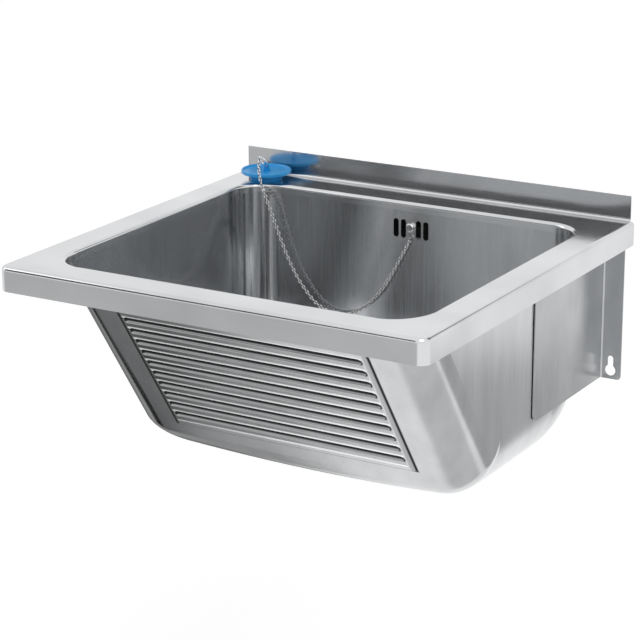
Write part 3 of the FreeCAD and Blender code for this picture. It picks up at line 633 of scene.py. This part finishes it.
def plainPlane(name, material, half, z=0.0):
    mesh = bpy.data.meshes.new(name)
    corners = [(-half, -half, z), (half, -half, z), (half, half, z), (-half, half, z)]
    mesh.from_pydata(corners, [], [(0, 1, 2, 3)])
    mesh.materials.append(material)
    plane = bpy.data.objects.new(name, mesh)
    bpy.context.scene.collection.objects.link(plane)
    return plane


def paleFloor(settings):
    material, nodes, links, shader = newMaterial("paleFloor")
    shader.inputs["Base Color"].default_value = (*settings["floorColour"], 1)
    shader.inputs["Roughness"].default_value = settings["floorRoughness"]
    shader.inputs["Emission Color"].default_value = (1, 1, 1, 1)
    links.new(remap(nodes, links, seenDirectly(nodes, links), 0.0, settings["floorGlow"]),
              shader.inputs["Emission Strength"])
    floor = plainPlane("floor", material, settings["floorReach"], deckTop - settings["floorBelow"])


# Grey cards stand round the sink and only show in its steel. Those on the floor face upwards.
cards = {
    "frontLeftCard": {"place": (-0.95, -1.75, 0.75), "size": (2.1, 0.9), "tone": 0.08,
                      "faces": (0.0, -0.2, 0.2)},
    "overheadCard": {"place": (1.1, 0.85, 1.5), "size": (1.8, 1.4), "tone": 0.22,
                     "faces": (0.0, -0.3, 0.1)},
    "lowFrontCard": {"place": (-0.9, -1.9, -0.40), "size": (3.0, 1.0), "tone": 0.60,
                     "faces": (0.0, -0.6, 0.18)},
    "lowRightCard": {"place": (0.95, 0.5, -0.50), "size": (1.2, 0.6), "tone": 0.52,
                     "faces": (0.25, -0.3, 0.0)},
    "lowLeftCard": {"place": (-1.2, 0.3, -0.72), "size": (1.8, 3.4), "tone": 0.22},
    "underCard": {"place": (-0.80, -0.12, -0.70), "size": (1.2, 0.6), "tone": 0.38},
    "rightFloorCard": {"place": (0.60, -0.35, -0.70), "size": (1.4, 0.8), "tone": 0.74},
    "streakCard": {"place": (-0.95, -0.26, -0.69), "size": (0.9, 0.24), "tone": 0.0},
}
cardCore = 0.6      # the share of a card's half size that is solid, before its soft edge


def greyCard(name, settings):
    material, nodes, links, shader = newMaterial(name)
    nodes.remove(shader)
    covers = []
    for side in splitPlace(nodes, links)[1][:2]:
        edge = nodes.new("ShaderNodeMapRange")
        edge.interpolation_type = "SMOOTHSTEP"
        edge.inputs["From Min"].default_value = 1.0
        edge.inputs["From Max"].default_value = cardCore
        links.new(combine(nodes, links, "ABSOLUTE", side), edge.inputs["Value"])
        covers.append(edge.outputs["Result"])
    glow = nodes.new("ShaderNodeEmission")
    glow.inputs["Strength"].default_value = settings["tone"]
    clear = nodes.new("ShaderNodeBsdfTransparent")
    blend = nodes.new("ShaderNodeMixShader")
    links.new(combine(nodes, links, "MULTIPLY", *covers), blend.inputs["Fac"])
    links.new(clear.outputs["BSDF"], blend.inputs[1])
    links.new(glow.outputs["Emission"], blend.inputs[2])
    links.new(blend.outputs["Shader"], nodes["Material Output"].inputs["Surface"])
    card = plainPlane(name, material, 1)
    place = Vector(settings["place"])
    towards = Vector(settings["faces"]) - place if "faces" in settings else Vector((0, 0, 1))
    card.location = place
    card.scale = (settings["size"][0] / 2, settings["size"][1] / 2, 1)
    card.rotation_mode = "QUATERNION"
    card.rotation_quaternion = towards.to_track_quat("Z", "Y")
    card.visible_camera = card.visible_diffuse = card.visible_shadow = card.visible_transmission = False


lamps = {
    "keyLamp": {"place": (1.2, -1.6, 2.2), "size": (1.2, 1.2), "power": 14},
    "fillLamp": {"place": (-1.8, -1.2, 1.2), "size": (1.0, 1.4), "power": 5},
}
lampTarget = (0, -0.3, 0.1)


def softLamp(name, settings):
    data = bpy.data.lights.new(name, "AREA")
    data.shape = "RECTANGLE"
    data.size, data.size_y = settings["size"]
    data.energy = settings["power"]
    lamp = bpy.data.objects.new(name, data)
    bpy.context.scene.collection.objects.link(lamp)
    lamp.location = settings["place"]
    lamp.rotation_mode = "QUATERNION"
    lamp.rotation_quaternion = (Vector(lampTarget) - Vector(settings["place"])).to_track_quat("-Z", "Y")


whiteWorld(studio)
paleFloor(studio)
for cardName, cardSettings in cards.items():
    greyCard(cardName, cardSettings)
for lampName, lampSettings in lamps.items():
    softLamp(lampName, lampSettings)
bpy.context.scene.view_settings.view_transform = "Standard"
print("studio lit")
